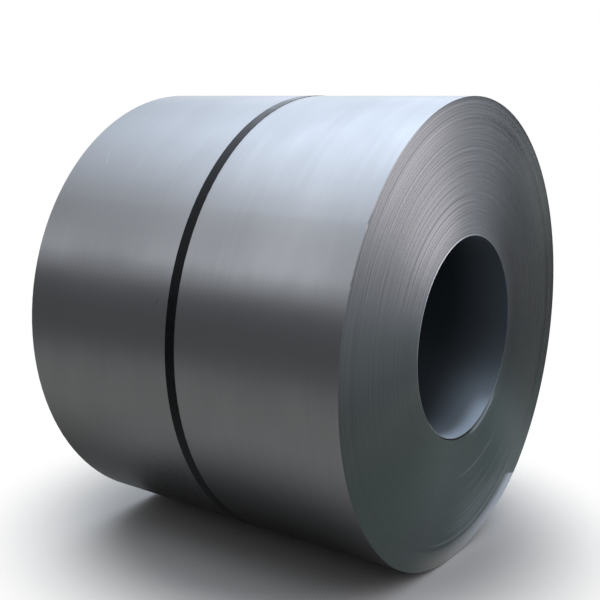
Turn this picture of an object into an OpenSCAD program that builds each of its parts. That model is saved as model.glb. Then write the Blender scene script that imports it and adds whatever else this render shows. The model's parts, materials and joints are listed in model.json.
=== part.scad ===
// Steel coil: a roll of cold rolled strip, lying on its side, held by one steel strap round its girth.
// The coil's axis runs along X. The origin is on the floor, under the middle of the coil.
// Angles round the axis start at the back (+Y) and rise over the top (+Z) to the front (-Y).

/* [Strip] */
// Width of the strip, which is the length of the coil
strip_w = 1110; // [300:5:2000]
// Room that one turn takes along the radius: the strip's gauge and its winding gap
turn_pitch = 2; // [0.8:0.1:5]
// Number of turns
turns = 200; // [80:5:400]
// Inside diameter of the coil, set by the mandrel that it was wound on
bore_d = 610; // [400:1:800]

/* [Wound ends] */
// Turns that lie flush with each other, as one band on an end
band_turns = 5; // [3:1:12]
// Furthest that a band sits back from the end plane
band_setback = 1.2; // [0.5:0.1:8]

/* [Strip ends] */
// Angle of the outer end of the strip
tail_angle = 306; // [200:1:340]
// Arc over which the last turn sinks to the turn under it
tail_arc = 70; // [30:2:120]
// Angle of the inner end of the strip
head_angle = 225; // [180:5:230]
// Arc over which the bore narrows again to the first turn, on the far side of that end
head_arc = 60; // [30:2:80]
// Angle of the middle of the gap behind the loose first turn
gap_angle = 277; // [250:1:300]
// Widest opening of that gap
gap_w = 5; // [1:0.5:12]
// Arc that the gap covers
gap_arc = 84; // [40:2:100]

/* [Strap] */
// Width of the strap
strap_w = 32; // [16:1:50]
// Thickness of the strap
strap_t = 0.9; // [0.5:0.1:2]
// Place of the strap along the coil, from the middle
strap_x = 9; // [-120:1:120]
// Length of strap that laps over itself under the seal
strap_lap = 190; // [120:5:400]
// Room between the strap and the coil, and between the seal and the strap
strap_clearance = 0.1; // [0.05:0.05:0.5]

/* [Strap seal] */
// Angle of the seal
seal_angle = 48; // [10:1:80]
// Length of the seal along the strap
seal_l = 57; // [30:1:90]
// Thickness of the seal's sheet
seal_t = 1.2; // [0.6:0.1:2]
// Crimps along each edge of the seal
seal_crimps = 2; // [1:1:3]
// Width of one crimp's notch
crimp_w = 7; // [4:0.5:10]

/* [Hidden] */
$fn = 180;

bore_r = bore_d / 2;
wound_r = bore_r + turns * turn_pitch;
band_pitch = band_turns * turn_pitch;
bands = ceil(turns / band_turns);
strap_r = wound_r + strap_clearance;
axis_z = strap_r + strap_t;
overcut = 5;
lap_step = 2;
hoop_segments = 1440;

// Length along the strap as an angle round the axis.
function strap_angle(length) = length / strap_r * 180 / PI;

// Point at a radius and an angle.
function polar(r, a) = [r * cos(a), r * sin(a)];

// How far band i sits back: uneven, as turns wander while a coil is wound. The inmost and outmost bands lie flush.
function setback(i, seed) = i == 0 || i == bands - 1 ? 0
    : band_setback * (0.15 + 0.5 * abs(sin(47 * i + seed)) + 0.35 * abs(sin(137.5 * i + 2 * seed)));

// Radius where band i starts.
function band_r(i) = min(bore_r + i * band_pitch, wound_r);

// Profile of one wound end, from the bore outwards. It is a staircase: each band's edge is one step.
function end_profile(seed) = [
    for (i = [0:bands - 1])
        for (r = [band_r(i), band_r(i + 1)])
            [r, strip_w / 2 - setback(i, seed)]
];

// Lays a shape that is drawn round the Z axis along the coil's axis.
module on_coil_axis() {
    translate([0, 0, axis_z]) rotate([90, 0, 90]) children();
}

// The coil as turned: both wound ends, the outside and the bore.
module wound_body() {
    front = end_profile(20);
    rear = end_profile(75);
    rear_inwards = [for (i = [len(rear) - 1:-1:0]) [rear[i][0], -rear[i][1]]];
    rotate_extrude() polygon(concat(front, rear_inwards));
}

// Sliver between a round wall of radius r and a spiral that leaves it by one turn at the strip's end.
// side is 1 for the strip's outer end and -1 for its inner end. The strip winds outwards as the angle rises,
// so the sliver lies past the outer end and before the inner one.
module strip_end_sliver(r, angle, arc, side) {
    steps = ceil(arc / lap_step);
    function turned(k) = angle + side * arc * k / steps;
    spiral = [for (k = [0:steps]) polar(r - side * turn_pitch * (1 - 1.1 * k / steps), turned(k))];
    clear = [for (k = [steps:-1:0]) polar(r + side * overcut, turned(k))];
    linear_extrude(strip_w + 2 * overcut, center = true) polygon(concat(spiral, clear));
}

// Crescent between the loose first turn and the turn round it.
module first_turn_gap() {
    turn_r = bore_r + turn_pitch;
    lean = gap_w * (2 * turn_r + gap_w) / (2 * (turn_r + gap_w - turn_r * cos(gap_arc / 2)));
    linear_extrude(strip_w + 2 * overcut, center = true) difference() {
        translate(polar(lean, gap_angle)) circle(turn_r + gap_w - lean);
        circle(turn_r);
    }
}

module coil() {
    color([0.42, 0.43, 0.45]) on_coil_axis() difference() {
        wound_body();
        strip_end_sliver(wound_r, tail_angle, tail_arc, 1);
        strip_end_sliver(bore_r, head_angle, head_arc, -1);
        first_turn_gap();
    }
}

// Length of hoop round the coil: a rectangle swept from angle to angle + arc.
module hoop(inner_r, thickness, width, angle, arc) {
    rotate([0, 0, angle]) rotate_extrude(angle = arc, $fn = hoop_segments)
        translate([inner_r, -width / 2]) square([thickness, width]);
}

// One strap: a full turn, and the lap where its end lies on its start. The two layers are joined in one piece.
module strap() {
    lap = strap_angle(strap_lap);
    color([0.06, 0.065, 0.07]) on_coil_axis() translate([0, 0, strap_x]) {
        hoop(strap_r, strap_t, strap_w, 0, 360);
        hoop(strap_r + strap_t / 2, 1.5 * strap_t, strap_w, seal_angle - lap / 2, lap);
    }
}

// Notches that the crimping tool leaves in both edges of the seal.
module crimp_notches(top_r, half_w) {
    pitch = seal_l / (seal_crimps + 1);
    for (k = [1:seal_crimps])
        for (side = [-1, 1])
            rotate([0, 0, seal_angle + strap_angle(k * pitch - seal_l / 2)])
                translate([top_r - overcut, 0, side * half_w])
                    rotate([0, 90, 0]) cylinder(d = crimp_w, h = 2 * overcut, $fn = 48);
}

// Folded sleeve that holds the lapped strap: a top plate with a flange down each edge.
module strap_seal() {
    under_r = strap_r + 2 * strap_t + strap_clearance;
    inner_w = strap_w + 2 * strap_clearance;
    outer_w = inner_w + 2 * seal_t;
    arc = strap_angle(seal_l);
    color([0.10, 0.105, 0.11]) on_coil_axis() translate([0, 0, strap_x]) difference() {
        hoop(strap_r, under_r + seal_t - strap_r, outer_w, seal_angle - arc / 2, arc);
        hoop(strap_r - overcut, under_r - strap_r + overcut, inner_w, seal_angle - arc, 2 * arc);
        crimp_notches(under_r, outer_w / 2);
    }
}

coil();
strap();
strap_seal();
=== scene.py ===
"""Looks of a steel coil: its wound strip, its steel strap and the strap's seal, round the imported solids.

The coil's axis runs along X. Angles round it are in degrees. They start at the back (+Y) and rise over the
top (+Z) to the front (-Y). Lengths are in metres.
"""

import json
import math

import bpy
import numpy as np
from mathutils import Matrix, Vector


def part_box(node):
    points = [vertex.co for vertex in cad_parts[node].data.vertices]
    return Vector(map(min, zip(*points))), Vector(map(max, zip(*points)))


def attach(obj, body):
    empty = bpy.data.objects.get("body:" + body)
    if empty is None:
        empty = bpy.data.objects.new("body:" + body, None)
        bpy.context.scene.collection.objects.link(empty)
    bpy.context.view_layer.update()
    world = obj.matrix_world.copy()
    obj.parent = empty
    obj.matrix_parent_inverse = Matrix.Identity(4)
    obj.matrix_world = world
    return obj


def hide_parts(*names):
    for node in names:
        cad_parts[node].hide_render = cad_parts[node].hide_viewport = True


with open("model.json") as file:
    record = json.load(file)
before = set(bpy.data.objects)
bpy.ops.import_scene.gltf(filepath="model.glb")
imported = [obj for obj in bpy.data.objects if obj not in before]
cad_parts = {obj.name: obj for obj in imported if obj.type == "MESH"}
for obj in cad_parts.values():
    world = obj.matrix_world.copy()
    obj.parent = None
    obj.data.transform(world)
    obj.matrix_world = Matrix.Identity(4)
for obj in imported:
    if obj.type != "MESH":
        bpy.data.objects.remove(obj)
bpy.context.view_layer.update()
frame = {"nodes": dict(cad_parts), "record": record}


def grey(value, tint=(1.0, 1.0, 1.0)):
    """A grey with a tint, as an opaque colour."""
    return tuple(value * t for t in tint) + (1.0,)


# Camera, fitted to the photograph's outline of the coil

CAMERA_PLACE = (1.7557, -2.6011, 1.2976)
CAMERA_YAW = -34.825
CAMERA_PITCH = -9.888
CAMERA_ROLL = -1.483
LENS_MM = 57.92
SENSOR_MM = 36.0


# Coil, as in the part's source

TURNS = 200
TURN_PITCH = 0.002
BAND_TURNS = 5
# How far a band of turns sits back: its least share, and waves as (degrees for each band, seeds, share)
BAND_LEAST = 0.15
BAND_WAVES = ((47, 1, 0.5), (137.5, 2, 0.35))
FRONT_SEED = 20
REAR_SEED = 75
# Outer and inner ends of the strip
TAIL_ANGLE = 306
TAIL_ARC = 70
HEAD_ANGLE = 225
HEAD_ARC = 60
# Gap behind the loose first turn
GAP_ANGLE = 277
GAP_WIDTH = 0.005
GAP_ARC = 84

bore_mount = next(m for m in frame["record"]["mounts"] if m["name"] == "bore")
BORE_R = bore_mount["dims"]["r_mm"] / 1000
AXIS_Z = bore_mount["pos_m"][2]
OUTER_R = BORE_R + TURNS * TURN_PITCH
HALF_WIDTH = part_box("coil")[1].x


# Detail of the wound ends that the source leaves out

# Lengthwise edges of the mesh, and how close one of them may come to the edges of a step or a dent
SEGMENTS = 120
EDGE_SPACING = 0.5
# Half the angle of the step at a strip end
STEP_HALF = 0.02
# Edges of the mesh that turn by more than this are shaded as sharp
SHARP_DEGREES = 30
# Turns in each step of the mesh
FRONT_GROUP = 1
REAR_GROUP = 2
# Furthest that a band sits back. It is drawn flatter than in the source, so that single turns show.
BAND_SETBACK = 0.0003
# How unevenly single turns sit, and how far their sheared edges lean
TURN_JITTER = 0.00008
TURN_SWAY = 0.00008
EDGE_SLOPE = 0.0005
EDGE_SLOPE_SPREAD = 0.7
# The lean is most uneven at this angle, and has the least share of that on the far side
UNEVEN_ANGLE = 130
UNEVEN_LEAST = 0.25
# Gap behind the loose first turn: its depth, its least opening, and the turns that are squeezed round it
GAP_DEPTH = 0.12
GAP_LEAST = 0.00005
GAP_SQUEEZE_TURNS = 12
# Outer turns that have slipped back at the lower right of the front end
RIM_START = 312
RIM_FULL = 282
RIM_LOW = 258
RIM_END = 226
RIM_WIDTH = 0.060
RIM_SETBACK = 0.0105
RIM_CURVE = 1.5
# Dents in the rim of the front end: angle, half their length as an angle, and how deep they go
DENTS = ((147.6, 0.6, 0.0022), (160.6, 0.5, 0.0016))
DENT_WIDTH = 0.006
# Places of the coil's materials
SHEET_SLOT = 0
EDGE_SLOT = 1
BORE_SLOT = 2


# Face of the sheet. A pattern is (scale one way, scale the other way, offset, detail, roughness).

SHEET_TINT = (0.97, 1.0, 1.04)
SHEET_DARK = grey(0.31, SHEET_TINT)
SHEET_LIGHT = grey(0.35, SHEET_TINT)
SHEET_GLANCING = grey(0.55)
SHEET_STREAKS = (60.0, 1.2, 0.0, 3.0, 0.6)
SHEET_CLOUDS = (3.0, 1.6, 4.0, 3.0, 0.55)
SHEET_STREAK_SHARE = 0.2
SHEET_TONES = (0.3, 0.7)
SHEET_ROUGHNESS = (0.36, 0.27)
SHEET_ANISOTROPY = 0.4
# Painted shade on the underside, darker towards the bottom: the angles from the top where it starts and is
# full
UNDERSIDE_SHADE = (105, 130)
UNDERSIDE_SHADE_SHARE = 0.78
UNDERSIDE_SHADE_COLOR = grey(0.13, (1.0, 1.0, 0.98))
# Marks on the barrel: start and end as (place along the coil, angle), half width, colour and strength
SCUFFS = (
    ((-0.457, 131.6), (-0.422, 137.4), 0.0014, grey(0.60), 0.40),
    ((-0.055, 171.0), (-0.041, 169.0), 0.0022, grey(0.10), 0.55),
)
# Share of a mark's half width that is solid, and share of its length over which each end fades
SCUFF_CORE = 0.3
SCUFF_FADE = 0.2


# Edges of the turns. Pairs of radii, heights and depths are where a mask starts and where it is full.

UPPER_TINT = (0.99, 1.0, 1.0)
# Greenish tint of the painted shade low on the ends, a painted reflection
LOWER_SHADE_TINT = (0.80, 1.0, 0.94)
GLINT_AND_WEAR_TINT = (0.94, 1.0, 1.06)
WARM_TINT = (1.04, 1.0, 0.94)
PAINTED_LIGHT_TINT = (1.0, 1.03, 0.98)
EDGE_DARK = grey(0.165, UPPER_TINT)
EDGE_LIGHT = grey(0.185, UPPER_TINT)
# Tones that change with each turn and, as (scale, detail), over several turns
EDGE_FINE_SHARE = 0.35
EDGE_RINGS = (0.22, 3.0)
EDGE_TONES = (0.25, 0.75)
EDGE_ROUGHNESS = (0.37, 0.40)
EDGE_ANISOTROPY = 0.68
# Softness of a sector's ends, as a sine
SECTOR_FADE = 0.2
# Depth of the marks that only the front end has
FRONT_DEPTH = (0.030, 0.015)
# Sector of the ends where single turns stand out as painted highlight streaks, light and dark, over their
# own tones
HIGHLIGHT_STREAK_SECTOR = (84, 168)
HIGHLIGHT_STREAK_DARK = grey(0.142, UPPER_TINT)
HIGHLIGHT_STREAK_LIGHT = grey(0.210, UPPER_TINT)
STREAK_LINES = (0.26, 2.0)
STREAK_LINE_MEAN = 0.5
STREAK_TONES = (-0.15, 0.15)
STREAK_PATCHES = (0.1, 3.0, 3.0, 2.0, 0.5)
STREAK_PATCH_TONES = (0.3, 0.65)
STREAK_PATCH_LEAST = 0.15
# Painted shade on the lower part, greenish as a painted reflection, which fades out upwards, and a sector
# on the front side where the painted shade is deepest
LOWER_SHADE_HEIGHT = (0.15, -0.35)
LOWER_SHADE_DARK = grey(0.138, LOWER_SHADE_TINT)
LOWER_SHADE_LIGHT = grey(0.15, LOWER_SHADE_TINT)
SHADED_SECTOR = (158, 202)
SHADED_SECTOR_FADE = 0.3
SHADED_SECTOR_SHARE = 0.5
SHADED_SECTOR_COLOR = grey(0.085, LOWER_SHADE_TINT)
# Painted light towards the back, and a painted highlight on the outer turns in a sector over the upper back
PAINTED_LIGHT_BACK = (0.2, 0.6)
PAINTED_LIGHT_SHARE = 0.6
PAINTED_LIGHT_COLOR = grey(0.26, PAINTED_LIGHT_TINT)
UPPER_RIM_HIGHLIGHT = (12, 70)
UPPER_RIM_HIGHLIGHT_FADE = 0.4
UPPER_RIM_HIGHLIGHT_RADIUS = (0.50, 0.66)
UPPER_RIM_HIGHLIGHT_SHARE = 0.5
UPPER_RIM_HIGHLIGHT_COLOR = grey(0.40, PAINTED_LIGHT_TINT)
# Line on the front end that the painted reflection on the rim lies below: its drop below the axis, its fall
# towards the back
RIM_LINE_DROP = 0.448
RIM_LINE_FALL = 0.225
RIM_LINE_FADE = 0.004
# Colour of the bright marks, which are partly worn and partly painted glints, glow and highlight
GLINT_AND_WEAR_COLOR = grey(0.45, GLINT_AND_WEAR_TINT)
# Painted reflection on the slipped rim: where it starts, as sines past RIM_END, and its width in widths of
# the slipped rim
RIM_REFLECTION_START = (0.30, 0.70)
RIM_REFLECTION_WIDTHS = (1.2, 0.3)
# Its colour turns from warm to bluish over these sines past RIM_LOW
RIM_REFLECTION_TURN = (0.0, 0.5)
RIM_REFLECTION_WARM = grey(0.36, WARM_TINT)
RIM_REFLECTION_BLUISH = grey(0.46, GLINT_AND_WEAR_TINT)
# Painted glow round the painted reflection on the rim, which starts over these sines past RIM_LOW
RIM_GLOW_FADE = 0.05
RIM_GLOW_RADIUS = (0.47, 0.60)
RIM_GLOW_START = (0.0, 0.35)
RIM_GLOW_SHARE = 0.15
# Single turns whose edges are bright on the front end, partly worn and partly painted glints: radius, angle
# from, angle to, strength
GLINT_AND_WEAR_TURNS = (
    (0.3065, 272, 328, 1.00),
    (0.3135, 279, 320, 0.60),
    (0.3205, 276, 322, 0.85),
    (0.3265, 279, 320, 0.70),
    (0.439, 266, 310, 0.45),
    (0.494, 266, 302, 0.15),
    (0.529, 278, 318, 0.22),
    (0.569, 266, 312, 0.20),
    (0.588, 264, 315, 0.24),
    (0.602, 258, 306, 0.24),
    (0.629, 250, 317, 0.50),
    (0.649, 296, 322, 0.22),
)
# Distances from the middle of such a line where it starts to fade and ends
GLINT_AND_WEAR_LINE = (0.001, 0.0025)
# Painted highlight on the lip of the bore: widths where it starts to fade and ends
LIP_HIGHLIGHT = (0.002, 0.004)
LIP_HIGHLIGHT_SHARE = 0.6
# Stretch of the outer edge over the top that is darker, and its width
TOP_RIM = (0, 125)
TOP_RIM_WIDTH = (0.006, 0.003)
TOP_RIM_SHARE = 0.7
TOP_RIM_COLOR = grey(0.05)


# Bore

# Bluish tint of the bore: a painted reflection of the sky
BORE_SKY_TINT = (0.84, 1.0, 1.16)
BORE_DEEP = grey(0.055, BORE_SKY_TINT)
BORE_STREAKS = (40.0, 1.2, 7.0, 3.0, 0.6)
BORE_STREAK_SHARE = 0.2
BORE_STREAK_COLOR = grey(0.14, (0.86, 1.0, 1.14))
BORE_TONES = (0.3, 0.7)
BORE_ROUGHNESS = (0.54, 0.60)
BORE_METALLIC = 0.85
BORE_ANISOTROPY = 0.6
# Painted light at the mouth, darker deeper in: its depth, the angles from the top between which it grows,
# and its share above them
MOUTH_LIGHT_DEPTH = 0.22
MOUTH_LIGHT_LOW = (108, 162)
MOUTH_LIGHT_HIGH_SHARE = 0.52
MOUTH_LIGHT_COLOR = grey(0.33, BORE_SKY_TINT)
# Low down the last stretch has a bright painted reflection: the middle of that part, its reach in cosines,
# and its depth
MOUTH_REFLECTION_ANGLE = 278
MOUTH_REFLECTION_REACH = (0.788, 0.970)
MOUTH_REFLECTION_DEPTH = (0.070, 0.005)
MOUTH_REFLECTION_COLOR = grey(0.66, BORE_SKY_TINT)


# Paint of the strap and its seal. The scuffs are (scale, detail, roughness).

STRAP_TINT = (0.75, 1.0, 1.35)
STRAP_DARK = grey(0.003, STRAP_TINT)
STRAP_LIGHT = grey(0.009, STRAP_TINT)
STRAP_SCUFFS = (40.0, 4.0, 0.6)
STRAP_TONES = (0.45, 0.75)
STRAP_ROUGHNESS_TONES = (0.3, 0.7)
STRAP_ROUGHNESS = (0.34, 0.44)
STRAP_SPECULAR = 0.13

# Brush marks run round the coil's axis
BRUSH_ROTATION = 0.25


# Stage: a pale floor that fades out into a soft dome of light, with a white backdrop behind the coil

FLOOR_HALF = 8.0
FLOOR_COLOR = (0.37, 0.365, 0.355, 1.0)
FLOOR_ROUGHNESS = 0.9
FLOOR_FADE = (0.58, 1.15)
# The dome is dim, and a little lighter on the right. A broad soft light stands behind the coil on the left,
# a small one behind it on the right and a second small one overhead on the right. A side light fills the
# left, above its foot. Places across are a direction's X, heights its Z, and widths are cosines.
DIM_COLOR = (0.14, 0.14, 0.145, 1.0)
DIM_RIGHT_COLOR = (0.245, 0.245, 0.255, 1.0)
DIM_RIGHT = (0.0, 0.35)
BROAD_LIGHT_COLOR = (3.06, 3.38, 3.86, 1.0)
BROAD_LIGHT_CENTRE = (0.25, 0.77, 0.585)
BROAD_LIGHT_WIDTH = (-0.14, 0.46)
BROAD_LIGHT_LEFT = (-0.80, -0.46)
BROAD_LIGHT_LEFT_SHARE = 0.2
BROAD_LIGHT_RIGHT = (-0.35, 0.10)
BROAD_LIGHT_RIGHT_SHARE = 0.17
BROAD_LIGHT_TOP = (0.84, 1.00)
BROAD_LIGHT_TOP_SHARE = 0.25
# Small lights: centre, width and colour
SMALL_LIGHTS = (
    ((0.743, 0.573, 0.348), (0.92, 0.99), (3.80, 3.64, 3.90, 1.0)),
    ((0.42, -0.18, 0.89), (0.86, 0.98), (2.30, 2.40, 2.60, 1.0)),
)
SIDE_COLOR = (1.53, 1.55, 1.62, 1.0)
SIDE_RIGHT = (-0.25, -0.42)
SIDE_LEFT = (-0.85, -0.45)
SIDE_LEFT_SHARE = 0.4
# The side light's foot slants: heights above it are taken along this direction
SIDE_UPRIGHT = (0.0, 0.358, 0.934)
SIDE_FOOT = (-0.06, 0.05)
# Above its foot the left part of that light is dimmer and its right part a little brighter
SIDE_VALLEY = (0.08, 0.30)
SIDE_VALLEY_ACROSS = (-0.68, -0.54)
SIDE_VALLEY_SHARE = 0.5
SIDE_VALLEY_RIGHT = -0.35
GROUND_FRONT_COLOR = (0.335, 0.335, 0.325, 1.0)
GROUND_RIGHT_COLOR = (0.31, 0.325, 0.32, 1.0)
GROUND_RIGHT = (0.0, 0.5)
GROUND_FADE = (-0.40, -0.20)
# White backdrop behind the coil: its half width in cosines, and its top and foot as heights
BACKDROP_ACROSS = (0.80, 0.934)
BACKDROP_TOP = (0.15, 0.35)
BACKDROP_FOOT = (-0.62, -0.48)
BACKDROP_COLOR = grey(1.0)


# Meshes

def smoothstep(t):
    t = np.clip(t, 0.0, 1.0)
    return t * t * (3 - 2 * t)


def ring_angles():
    """Angles of the coil's lengthwise edges, with a pair close together at each strip end."""
    even = np.arange(SEGMENTS) * 360.0 / SEGMENTS
    steps = [angle + side * STEP_HALF for angle in (TAIL_ANGLE, HEAD_ANGLE) for side in (-1, 1)]
    steps += [angle + side * half for angle, half, _ in DENTS for side in (-1, 0, 1)]
    keep = [a for a in even if min(abs(a - s) for s in steps) > EDGE_SPACING]
    return np.array(sorted(keep + steps))


ANGLES = ring_angles()
COS = np.cos(np.radians(ANGLES))
SIN = np.sin(np.radians(ANGLES))


def sunk_turn(angle, arc, side):
    """How much of a turn is missing at each angle.

    It is missing past the strip's outer end (side 1) or before its inner end (side -1).
    """
    past = (side * (ANGLES - angle)) % 360
    return np.where(past < arc, 1 - past / arc, 0.0)


def first_turn_gap():
    """Opening behind the loose first turn, at each angle."""
    turn_r = BORE_R + TURN_PITCH
    half = math.radians(GAP_ARC / 2)
    lean = GAP_WIDTH * (2 * turn_r + GAP_WIDTH) / (2 * (turn_r + GAP_WIDTH - turn_r * math.cos(half)))
    circle_r = turn_r + GAP_WIDTH - lean
    off = np.radians(ANGLES - GAP_ANGLE)
    reach = lean * np.cos(off) + np.sqrt(circle_r ** 2 - (lean * np.sin(off)) ** 2)
    return np.maximum(reach - turn_r, GAP_LEAST)


def band_setback(turn, seed):
    """How far the band that holds a turn sits back. The inmost and outmost bands lie flush."""
    band = turn // BAND_TURNS
    if band in (0, TURNS // BAND_TURNS - 1):
        return 0.0
    share = BAND_LEAST
    for degrees, seeds, weight in BAND_WAVES:
        share += weight * abs(math.sin(math.radians(degrees * band + seeds * seed)))
    return BAND_SETBACK * share


def rim_share():
    """How much of the outer turns' slip there is at each angle."""
    rise = smoothstep((RIM_START - ANGLES) / (RIM_START - RIM_FULL))
    fall = smoothstep((ANGLES - RIM_END) / (RIM_LOW - RIM_END))
    return rise * fall


def slip(r):
    """How far the front end's turns have slipped back at radius r, at each angle."""
    outwards = np.clip((r - (OUTER_R - RIM_WIDTH)) / RIM_WIDTH, 0.0, 1.0)
    back = RIM_SETBACK * outwards ** RIM_CURVE * rim_share()
    rim = np.clip((r - (OUTER_R - DENT_WIDTH)) / DENT_WIDTH, 0.0, 1.0)
    for angle, half, depth in DENTS:
        back = back + depth * rim * np.clip(1 - np.abs(ANGLES - angle) / half, 0.0, 1.0)
    return back


def end_rings(seed, group, slipped):
    """Rings of one wound end from the bore outwards, as (radius, set-back) at each angle.

    Each group of turns has a ring on its inner and its outer side. The sheared edge of a turn leans back
    towards its outer side. A slipped end has the slipped outer turns and the dents.
    """
    random = np.random.default_rng(seed)
    gap = first_turn_gap()
    inner = BORE_R + TURN_PITCH * sunk_turn(HEAD_ANGLE, HEAD_ARC, -1)
    outer = OUTER_R - TURN_PITCH * sunk_turn(TAIL_ANGLE, TAIL_ARC, 1)
    uneven = np.maximum(np.cos(np.radians(ANGLES - UNEVEN_ANGLE)), UNEVEN_LEAST)
    rings = []
    for turn in range(0, TURNS, group):
        sway = TURN_SWAY * random.random() * np.cos(np.radians(ANGLES - 360 * random.random()))
        jitter = TURN_JITTER * random.random()
        lean = EDGE_SLOPE * group * (1 + EDGE_SLOPE_SPREAD * uneven * (2 * random.random() - 1))
        back = np.maximum(band_setback(turn, seed) + jitter + sway, 0.0)
        for count, leaning in ((turn, 0.0), (turn + group, lean)):
            r = BORE_R + count * TURN_PITCH
            if count == 0:
                ring_r = inner
            elif count >= TURNS:
                ring_r = outer
            else:
                ring_r = r + gap * max(0.0, 1 - (count - 1) / GAP_SQUEEZE_TURNS)
            if slipped and r > OUTER_R - RIM_WIDTH:
                leaning = leaning * (1 - rim_share())
            ring_back = back + leaning
            if slipped:
                ring_back = ring_back + slip(r)
            rings.append((ring_r, ring_back))
    return rings


def wound_shape():
    """The coil's points, its faces, and the place of each face's material."""
    front = end_rings(FRONT_SEED, FRONT_GROUP, True)
    rear = end_rings(REAR_SEED, REAR_GROUP, False)
    turn_r = np.full(ANGLES.shape, BORE_R + TURN_PITCH)
    groove = [
        (turn_r, front[1][1] + GAP_DEPTH),
        (turn_r + first_turn_gap(), front[2][1] + GAP_DEPTH),
    ]
    front[1] = (turn_r, front[1][1])
    front = front[:2] + groove + front[2:]
    rings = [(HALF_WIDTH - back, r) for r, back in front]
    rings += [(back - HALF_WIDTH, r) for r, back in reversed(rear)]
    count = len(ANGLES)
    points = np.concatenate([np.stack([x, r * COS, AXIS_Z + r * SIN], axis=1) for x, r in rings])
    ring = np.arange(len(rings))[:, None]
    column = np.arange(count)[None, :]
    next_ring = (ring + 1) % len(rings)
    next_column = (column + 1) % count
    faces = np.stack([
        ring * count + column,
        next_ring * count + column,
        next_ring * count + next_column,
        ring * count + next_column,
    ], axis=2).reshape(-1, 4)
    barrel = len(front) - 1
    bore = len(rings) - 1
    slots = np.full((len(rings), count), EDGE_SLOT)
    slots[barrel] = SHEET_SLOT
    slots[bore] = BORE_SLOT
    # The steps at the strip's two ends are sheared edges too
    slots[barrel, np.searchsorted(ANGLES, TAIL_ANGLE) - 1] = EDGE_SLOT
    slots[bore, np.searchsorted(ANGLES, HEAD_ANGLE) - 1] = EDGE_SLOT
    return points, faces, slots.ravel()


def wound_mesh(name, materials):
    """The coil as one closed mesh."""
    points, faces, slots = wound_shape()
    mesh = bpy.data.meshes.new(name)
    mesh.from_pydata(points.tolist(), [], faces.tolist())
    for material in materials:
        mesh.materials.append(material)
    mesh.polygons.foreach_set("material_index", slots)
    mesh.polygons.foreach_set("use_smooth", np.ones(len(faces), bool))
    mesh.set_sharp_from_angle(angle=math.radians(SHARP_DEGREES))
    mesh.validate()
    return mesh


def link_object(name, data):
    """A new object in the scene."""
    linked = bpy.data.objects.new(name, data)
    bpy.context.scene.collection.objects.link(linked)
    return linked


# Material helpers

class Nodes:
    """Short names for building a node tree."""

    def __init__(self, tree):
        self.tree = tree

    def add(self, kind, inputs=None, **settings):
        node = self.tree.nodes.new(kind)
        for key, value in settings.items():
            setattr(node, key, value)
        for key, value in (inputs or {}).items():
            self.put(value, node.inputs[key])
        return node

    def put(self, value, socket):
        """Links an output, or sets a plain value."""
        if isinstance(value, bpy.types.NodeSocket):
            self.tree.links.new(value, socket)
        else:
            socket.default_value = value

    def math(self, operation, *values):
        node = self.add("ShaderNodeMath", operation=operation)
        for value, socket in zip(values, node.inputs):
            self.put(value, socket)
        return node.outputs[0]

    def product(self, first, *factors):
        for factor in factors:
            first = self.math("MULTIPLY", first, factor)
        return first

    def weighted(self, share, first, second):
        """A share of one value and the rest of another."""
        return self.math("ADD", self.product(first, share), self.product(second, 1 - share))

    def ramp(self, value, low, high, to_low=0.0, to_high=1.0, smooth=True):
        kind = "SMOOTHSTEP" if smooth else "LINEAR"
        node = self.add("ShaderNodeMapRange", interpolation_type=kind, clamp=True)
        for given, socket in zip((value, low, high, to_low, to_high), node.inputs):
            self.put(given, socket)
        return node.outputs[0]

    def noise(self, place, scale, detail, roughness):
        inputs = {"Vector": place, "Scale": scale, "Detail": detail, "Roughness": roughness}
        return self.add("ShaderNodeTexNoise", inputs).outputs["Fac"]

    def line_noise(self, value, scale, detail):
        """Noise along one value."""
        inputs = {"W": value, "Scale": scale, "Detail": detail}
        return self.add("ShaderNodeTexNoise", inputs, noise_dimensions="1D").outputs["Fac"]

    def pattern(self, first, second, pattern):
        """Noise over two values, each with its own scale."""
        first_scale, second_scale, offset, detail, roughness = pattern
        parts = {0: self.product(first, first_scale), 1: self.product(second, second_scale), 2: offset}
        return self.noise(self.add("ShaderNodeCombineXYZ", parts).outputs[0], 1.0, detail, roughness)

    def mix(self, factor, first, second):
        node = self.add("ShaderNodeMix", data_type="RGBA")
        self.put(factor, node.inputs[0])
        self.put(first, node.inputs[6])
        self.put(second, node.inputs[7])
        return node.outputs[2]

    def coats(self, colour, layers):
        """A colour with layers over it, each as (mask, colour)."""
        for mask, layer in layers:
            colour = self.mix(mask, colour, layer)
        return colour


def from_top(angle):
    """An angle round the axis, measured from the top towards the back, in radians."""
    return math.radians(90 - angle)


def radians(degrees):
    return tuple(math.radians(angle) for angle in degrees)


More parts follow.
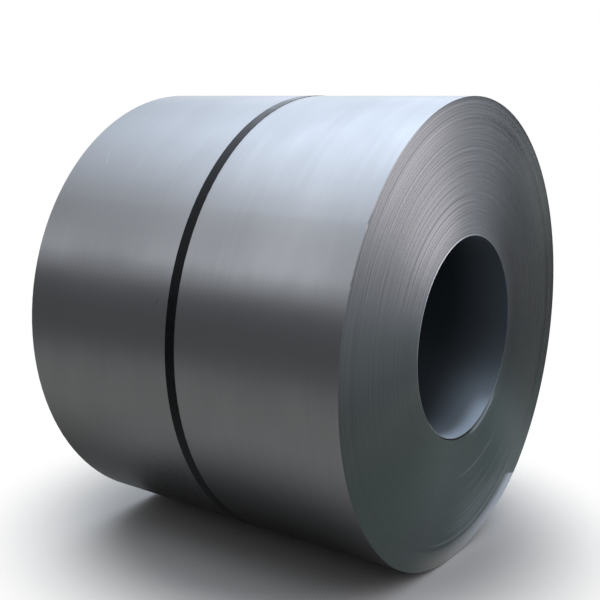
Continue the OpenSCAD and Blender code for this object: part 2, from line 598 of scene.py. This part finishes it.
class CoilPlace:
    """Sockets for the place on the coil, and masks made from them.

    They are along its axis, back and up from it, out from it, and round it from the top: turned in radians,
    and around as a length at the outside.
    """

    def __init__(self, nodes):
        self.nodes = nodes
        place = nodes.add("ShaderNodeTexCoord").outputs["Object"]
        self.along, self.back, upward = nodes.add("ShaderNodeSeparateXYZ", {0: place}).outputs
        self.height = nodes.math("SUBTRACT", upward, AXIS_Z)
        squares = [nodes.math("MULTIPLY", part, part) for part in (self.back, self.height)]
        self.radius = nodes.math("SQRT", nodes.math("ADD", *squares))
        self.turned = nodes.math("ARCTAN2", self.back, self.height)
        self.around = nodes.math("MULTIPLY", self.turned, OUTER_R)

    def past(self, angle):
        """How far the place lies past an angle, as a sine."""
        over = self.nodes.math("MULTIPLY", self.height, math.cos(math.radians(angle)))
        aside = self.nodes.math("MULTIPLY", self.back, math.sin(math.radians(angle)))
        return self.nodes.math("DIVIDE", self.nodes.math("SUBTRACT", over, aside), self.radius)

    def sector(self, start, end, fade=SECTOR_FADE):
        """1 between two angles, less than a half turn apart, with soft ends."""
        after = self.nodes.ramp(self.past(start), 0.0, fade)
        before = self.nodes.ramp(self.past(end), -fade, 0.0, 1.0, 0.0)
        return self.nodes.product(after, before)

    def below(self, angles, to_low, to_high):
        """A value that changes between two angles from the top, alike on both sides."""
        down = self.nodes.math("ABSOLUTE", self.turned)
        return self.nodes.ramp(down, *radians(angles), to_low, to_high)


def new_material(name):
    material = bpy.data.materials.new(name)
    material.use_nodes = True
    nodes = Nodes(material.node_tree)
    shader = next(n for n in material.node_tree.nodes if n.type == "BSDF_PRINCIPLED")
    return material, nodes, shader


def brush(nodes, shader, metallic, anisotropy):
    """Makes a surface metal that is brushed round the coil's axis."""
    shader.inputs["Metallic"].default_value = metallic
    shader.inputs["Anisotropic"].default_value = anisotropy
    shader.inputs["Anisotropic Rotation"].default_value = BRUSH_ROTATION
    tangent = nodes.add("ShaderNodeTangent", direction_type="RADIAL", axis="X")
    nodes.put(tangent.outputs[0], shader.inputs["Tangent"])


# Materials

def scuff_mask(nodes, place, start, end, half_width):
    """1 on a straight mark between two places on the barrel, and 0 elsewhere."""
    ends = [Vector((x, from_top(angle) * OUTER_R)) for x, angle in (start, end)]
    run = ends[1] - ends[0]
    ahead = run.normalized()
    x = nodes.math("SUBTRACT", place.along, ends[0].x)
    y = nodes.math("SUBTRACT", place.around, ends[0].y)
    forward = nodes.math("ADD", nodes.product(x, ahead.x), nodes.product(y, ahead.y))
    aside = nodes.math("SUBTRACT", nodes.product(x, ahead.y), nodes.product(y, ahead.x))
    return nodes.product(
        nodes.ramp(nodes.math("ABSOLUTE", aside), SCUFF_CORE * half_width, half_width, 1.0, 0.0),
        nodes.ramp(forward, 0.0, SCUFF_FADE * run.length),
        nodes.ramp(forward, (1 - SCUFF_FADE) * run.length, run.length, 1.0, 0.0),
    )


def sheet_material():
    """Face of cold rolled strip: satin steel with faint streaks along the rolling direction.

    It has cloudy stains, painted shade on the underside and a few marks.
    """
    material, nodes, shader = new_material("steel_sheet")
    place = CoilPlace(nodes)
    streaks = nodes.pattern(place.along, place.around, SHEET_STREAKS)
    clouds = nodes.pattern(place.along, place.around, SHEET_CLOUDS)
    tone = nodes.weighted(SHEET_STREAK_SHARE, streaks, clouds)
    # Painted shade: the underside of the barrel is darker towards the bottom
    layers = [(place.below(UNDERSIDE_SHADE, 0.0, UNDERSIDE_SHADE_SHARE), UNDERSIDE_SHADE_COLOR)]
    for start, end, half_width, colour, strength in SCUFFS:
        mask = scuff_mask(nodes, place, start, end, half_width)
        layers.append((nodes.product(mask, strength), colour))
    steel = nodes.mix(nodes.ramp(tone, *SHEET_TONES), SHEET_DARK, SHEET_LIGHT)
    nodes.put(nodes.coats(steel, layers), shader.inputs["Base Color"])
    nodes.put(nodes.ramp(tone, *SHEET_TONES, *SHEET_ROUGHNESS), shader.inputs["Roughness"])
    shader.inputs["Specular Tint"].default_value = SHEET_GLANCING
    brush(nodes, shader, 1.0, SHEET_ANISOTROPY)
    return material


def highlight_streak_layer(nodes, place, turn):
    """Sector where single turns stand out as painted highlight streaks, more in some patches than in
    others.
    """
    line = nodes.math("SUBTRACT", nodes.line_noise(turn, *STREAK_LINES), STREAK_LINE_MEAN)
    patch = nodes.pattern(turn, place.around, STREAK_PATCHES)
    streak = nodes.product(line, nodes.ramp(patch, *STREAK_PATCH_TONES, STREAK_PATCH_LEAST, 1.0))
    return place.sector(*HIGHLIGHT_STREAK_SECTOR), nodes.mix(nodes.ramp(streak, *STREAK_TONES), HIGHLIGHT_STREAK_DARK, HIGHLIGHT_STREAK_LIGHT)


def painted_light_layers(nodes, place, shade):
    """Painted shade low down and on the front side, painted light towards the back, and a painted highlight
    on the outer turns over the upper back, on both ends.
    """
    # Painted shade: darker and greenish low down, deepest in a sector on the front side
    lower_shade = nodes.mix(shade, LOWER_SHADE_DARK, LOWER_SHADE_LIGHT)
    shaded_sector = nodes.product(place.sector(*SHADED_SECTOR, SHADED_SECTOR_FADE), SHADED_SECTOR_SHARE)
    # Painted highlight on the outer turns over the upper back
    upper_rim_highlight = nodes.product(
        place.sector(*UPPER_RIM_HIGHLIGHT, UPPER_RIM_HIGHLIGHT_FADE),
        nodes.ramp(place.radius, *UPPER_RIM_HIGHLIGHT_RADIUS),
        UPPER_RIM_HIGHLIGHT_SHARE,
    )
    return [
        (nodes.ramp(place.height, *LOWER_SHADE_HEIGHT), lower_shade),
        (shaded_sector, SHADED_SECTOR_COLOR),
        # Painted light towards the back
        (nodes.ramp(place.back, *PAINTED_LIGHT_BACK, 0.0, PAINTED_LIGHT_SHARE), PAINTED_LIGHT_COLOR),
        (upper_rim_highlight, UPPER_RIM_HIGHLIGHT_COLOR),
    ]


def mark_layers(nodes, place):
    """Painted reflection and glow on the slipped rim, and bright lines on single turns that are partly worn
    and partly painted glints, on the front end. A painted highlight on the lip and a darker outer edge over
    the top on both ends.
    """
    radius = place.radius
    front = nodes.ramp(place.along, *(HALF_WIDTH - depth for depth in FRONT_DEPTH))
    drop = nodes.math("ADD", place.height, nodes.product(place.back, RIM_LINE_FALL))

    def below_line(fade):
        mask = nodes.ramp(drop, -RIM_LINE_DROP - fade, -RIM_LINE_DROP + fade, 1.0, 0.0)
        return nodes.product(mask, front)

    # Painted glow round the painted reflection on the rim
    rim_glow = nodes.product(
        below_line(RIM_GLOW_FADE),
        nodes.ramp(radius, *RIM_GLOW_RADIUS),
        nodes.ramp(place.past(RIM_LOW), *RIM_GLOW_START),
        RIM_GLOW_SHARE,
    )
    layers = [(rim_glow, GLINT_AND_WEAR_COLOR)]
    # Bright lines on single turns: partly worn, partly painted glints
    for line_r, start, end, strength in GLINT_AND_WEAR_TURNS:
        aside = nodes.math("ABSOLUTE", nodes.math("SUBTRACT", radius, line_r))
        line = nodes.ramp(aside, *GLINT_AND_WEAR_LINE, strength, 0.0)
        layers.append((nodes.product(line, place.sector(start, end), front), GLINT_AND_WEAR_COLOR))
    # Painted highlight on the lip of the bore
    lip = nodes.ramp(radius, *(BORE_R + width for width in LIP_HIGHLIGHT), LIP_HIGHLIGHT_SHARE, 0.0)
    layers.append((lip, GLINT_AND_WEAR_COLOR))
    # Darker along the outer edge over the top
    dark_top_rim = nodes.product(
        place.sector(*TOP_RIM),
        nodes.ramp(radius, *(OUTER_R - width for width in TOP_RIM_WIDTH), 0.0, TOP_RIM_SHARE),
    )
    layers.append((dark_top_rim, TOP_RIM_COLOR))
    # Painted reflection low on the slipped outer turns of the front end
    rim = nodes.product(
        below_line(RIM_LINE_FADE),
        nodes.ramp(place.past(RIM_END), *RIM_REFLECTION_START),
        nodes.ramp(radius, *(OUTER_R - widths * RIM_WIDTH for widths in RIM_REFLECTION_WIDTHS)),
    )
    turning = nodes.ramp(place.past(RIM_LOW), *RIM_REFLECTION_TURN)
    layers.append((rim, nodes.mix(turning, RIM_REFLECTION_WARM, RIM_REFLECTION_BLUISH)))
    return layers


def turn_edge_material():
    """Edges of the wound turns: ring by ring a little lighter, darker, rougher or smoother.

    Painted highlight streaks, painted shade low down and on the front side, painted light towards the back,
    a painted reflection and glow on the slipped rim, bright lines that are partly worn and partly painted
    glints, a painted highlight on the lip and a darker top edge lie over that.
    """
    material, nodes, shader = new_material("turn_edges")
    place = CoilPlace(nodes)
    turn = nodes.math("DIVIDE", place.radius, TURN_PITCH)
    number = nodes.math("FLOOR", turn)
    fine = nodes.add("ShaderNodeTexWhiteNoise", {"W": number}, noise_dimensions="1D").outputs["Value"]
    tone = nodes.weighted(EDGE_FINE_SHARE, fine, nodes.line_noise(turn, *EDGE_RINGS))
    shade = nodes.ramp(tone, *EDGE_TONES)
    # Painted highlight streaks in the sector where the highlight falls
    layers = [highlight_streak_layer(nodes, place, turn)]
    layers += painted_light_layers(nodes, place, shade)
    layers += mark_layers(nodes, place)
    steel = nodes.mix(shade, EDGE_DARK, EDGE_LIGHT)
    nodes.put(nodes.coats(steel, layers), shader.inputs["Base Color"])
    nodes.put(nodes.ramp(tone, *EDGE_TONES, *EDGE_ROUGHNESS), shader.inputs["Roughness"])
    brush(nodes, shader, 1.0, EDGE_ANISOTROPY)
    return material


def bore_material():
    """Inner face of the first turn: duller than the outside, tinted bluish as a painted reflection of the
    sky.

    It is darker deep inside and lighter towards the mouth, as painted shade and light. Low down at the
    mouth it has a bright painted reflection.
    """
    material, nodes, shader = new_material("bore_sheet")
    place = CoilPlace(nodes)
    streaks = nodes.pattern(place.along, place.around, BORE_STREAKS)
    outwards = nodes.math("ABSOLUTE", place.along)
    # Painted light towards the mouth, lower down more of it, with painted shade deeper in
    mouth = nodes.product(
        nodes.ramp(outwards, HALF_WIDTH - MOUTH_LIGHT_DEPTH, HALF_WIDTH),
        place.below(MOUTH_LIGHT_LOW, MOUTH_LIGHT_HIGH_SHARE, 1.0),
    )
    # Painted reflection low down at the mouth
    beside = nodes.math("SUBTRACT", place.turned, from_top(MOUTH_REFLECTION_ANGLE))
    mouth_reflection = nodes.product(
        nodes.ramp(nodes.math("COSINE", beside), *MOUTH_REFLECTION_REACH),
        nodes.ramp(outwards, *(HALF_WIDTH - depth for depth in MOUTH_REFLECTION_DEPTH)),
    )
    layers = (
        (mouth, MOUTH_LIGHT_COLOR),
        (nodes.product(streaks, BORE_STREAK_SHARE), BORE_STREAK_COLOR),
        (mouth_reflection, MOUTH_REFLECTION_COLOR),
    )
    nodes.put(nodes.coats(BORE_DEEP, layers), shader.inputs["Base Color"])
    nodes.put(nodes.ramp(streaks, *BORE_TONES, *BORE_ROUGHNESS), shader.inputs["Roughness"])
    brush(nodes, shader, BORE_METALLIC, BORE_ANISOTROPY)
    return material


def strap_material():
    """Black paint on steel strap, satin, with faint scuffs."""
    material, nodes, shader = new_material("strap_paint")
    place = nodes.add("ShaderNodeTexCoord").outputs["Object"]
    scuffs = nodes.noise(place, *STRAP_SCUFFS)
    paint = nodes.mix(nodes.ramp(scuffs, *STRAP_TONES), STRAP_DARK, STRAP_LIGHT)
    nodes.put(paint, shader.inputs["Base Color"])
    nodes.put(nodes.ramp(scuffs, *STRAP_ROUGHNESS_TONES, *STRAP_ROUGHNESS), shader.inputs["Roughness"])
    shader.inputs["Specular IOR Level"].default_value = STRAP_SPECULAR
    return material


# Stage

def build_camera():
    """Sets the camera, and gives the level direction in which it looks."""
    yaw, pitch, roll = radians((CAMERA_YAW, CAMERA_PITCH, CAMERA_ROLL))
    forward = Vector((math.sin(yaw) * math.cos(pitch), math.cos(yaw) * math.cos(pitch), math.sin(pitch)))
    level = Vector((math.cos(yaw), -math.sin(yaw), 0.0))
    down = forward.cross(level)
    right = math.cos(roll) * level + math.sin(roll) * down
    up = math.sin(roll) * level - math.cos(roll) * down
    data = bpy.data.cameras.new("camera")
    data.lens = LENS_MM
    data.sensor_width = SENSOR_MM
    camera = link_object("camera", data)
    turn = Matrix((right, up, -forward)).transposed().to_4x4()
    camera.matrix_world = Matrix.Translation(CAMERA_PLACE) @ turn
    bpy.context.scene.camera = camera
    return Vector((forward.x, forward.y, 0.0)).normalized()


def build_floor():
    """A pale floor that fades out round the coil."""
    corners = [(x * FLOOR_HALF, y * FLOOR_HALF, 0.0) for x, y in ((-1, -1), (1, -1), (1, 1), (-1, 1))]
    mesh = bpy.data.meshes.new("floor")
    mesh.from_pydata(corners, [], [(0, 1, 2, 3)])
    floor = link_object("floor", mesh)
    material, nodes, shader = new_material("floor_paper")
    shader.inputs["Base Color"].default_value = FLOOR_COLOR
    shader.inputs["Roughness"].default_value = FLOOR_ROUGHNESS
    shader.inputs["Specular IOR Level"].default_value = 0.0
    place = nodes.add("ShaderNodeTexCoord").outputs["Object"]
    distance = nodes.add("ShaderNodeVectorMath", {0: place}, operation="LENGTH").outputs["Value"]
    nodes.put(nodes.ramp(distance, *FLOOR_FADE, 1.0, 0.0), shader.inputs["Alpha"])
    mesh.materials.append(material)


def build_world(behind):
    """A dim dome with soft lights. Seen directly or in a reflection, it is white behind the coil."""
    world = bpy.data.worlds.new("studio")
    bpy.context.scene.world = world
    world.use_nodes = True
    nodes = Nodes(world.node_tree)
    background = next(n for n in world.node_tree.nodes if n.type == "BACKGROUND")
    direction = nodes.add("ShaderNodeTexCoord").outputs["Generated"]
    across, _, rise = nodes.add("ShaderNodeSeparateXYZ", {0: direction}).outputs

    def towards(target):
        inputs = {0: direction, 1: target}
        return nodes.add("ShaderNodeVectorMath", inputs, operation="DOT_PRODUCT").outputs["Value"]

    broad = nodes.product(
        nodes.ramp(towards(BROAD_LIGHT_CENTRE), *BROAD_LIGHT_WIDTH, smooth=False),
        nodes.ramp(across, *BROAD_LIGHT_LEFT, BROAD_LIGHT_LEFT_SHARE, 1.0),
        nodes.ramp(across, *BROAD_LIGHT_RIGHT, 1.0, BROAD_LIGHT_RIGHT_SHARE),
        nodes.ramp(rise, *BROAD_LIGHT_TOP, 1.0, BROAD_LIGHT_TOP_SHARE),
    )
    upright = towards(SIDE_UPRIGHT)
    valley = nodes.product(
        nodes.ramp(upright, *SIDE_VALLEY, 0.0, SIDE_VALLEY_SHARE),
        nodes.ramp(across, *SIDE_VALLEY_ACROSS, 1.0, SIDE_VALLEY_RIGHT),
    )
    side = nodes.product(
        nodes.ramp(across, *SIDE_RIGHT),
        nodes.ramp(upright, *SIDE_FOOT),
        nodes.ramp(across, *SIDE_LEFT, SIDE_LEFT_SHARE, 1.0),
        nodes.math("SUBTRACT", 1.0, valley),
    )
    lights = [(side, SIDE_COLOR), (broad, BROAD_LIGHT_COLOR)]
    lights += [(nodes.ramp(towards(centre), *width), colour) for centre, width, colour in SMALL_LIGHTS]
    dim = nodes.mix(nodes.ramp(across, *DIM_RIGHT), DIM_COLOR, DIM_RIGHT_COLOR)
    ground = nodes.mix(nodes.ramp(across, *GROUND_RIGHT), GROUND_FRONT_COLOR, GROUND_RIGHT_COLOR)
    dome = nodes.mix(nodes.ramp(rise, *GROUND_FADE), ground, nodes.coats(dim, lights))
    level = nodes.math("SQRT", nodes.math("SUBTRACT", 1.0, nodes.math("MULTIPLY", rise, rise)))
    path = nodes.add("ShaderNodeLightPath").outputs
    seen = nodes.math("MAXIMUM", path["Is Camera Ray"], path["Is Glossy Ray"])
    seen = nodes.math("MAXIMUM", seen, path["Is Transmission Ray"])
    white = nodes.product(
        nodes.ramp(nodes.math("DIVIDE", towards(behind), level), *BACKDROP_ACROSS),
        nodes.ramp(rise, *BACKDROP_TOP, 1.0, 0.0),
        nodes.ramp(rise, *BACKDROP_FOOT),
        seen,
    )
    nodes.put(nodes.mix(white, dome, BACKDROP_COLOR), background.inputs["Color"])
    background.inputs["Strength"].default_value = 1.0


# Pieces

coil_materials = (sheet_material(), turn_edge_material(), bore_material())
coil = link_object("coil_wound", wound_mesh("coil_wound", coil_materials))
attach(coil, "root")
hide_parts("coil")

strap_paint = strap_material()
for name in ("strap", "strap_seal"):
    node = frame["nodes"][name]
    node.data.materials.clear()
    node.data.materials.append(strap_paint)

behind_coil = build_camera()
build_floor()
build_world(behind_coil)
bpy.context.scene.view_settings.view_transform = "Standard"
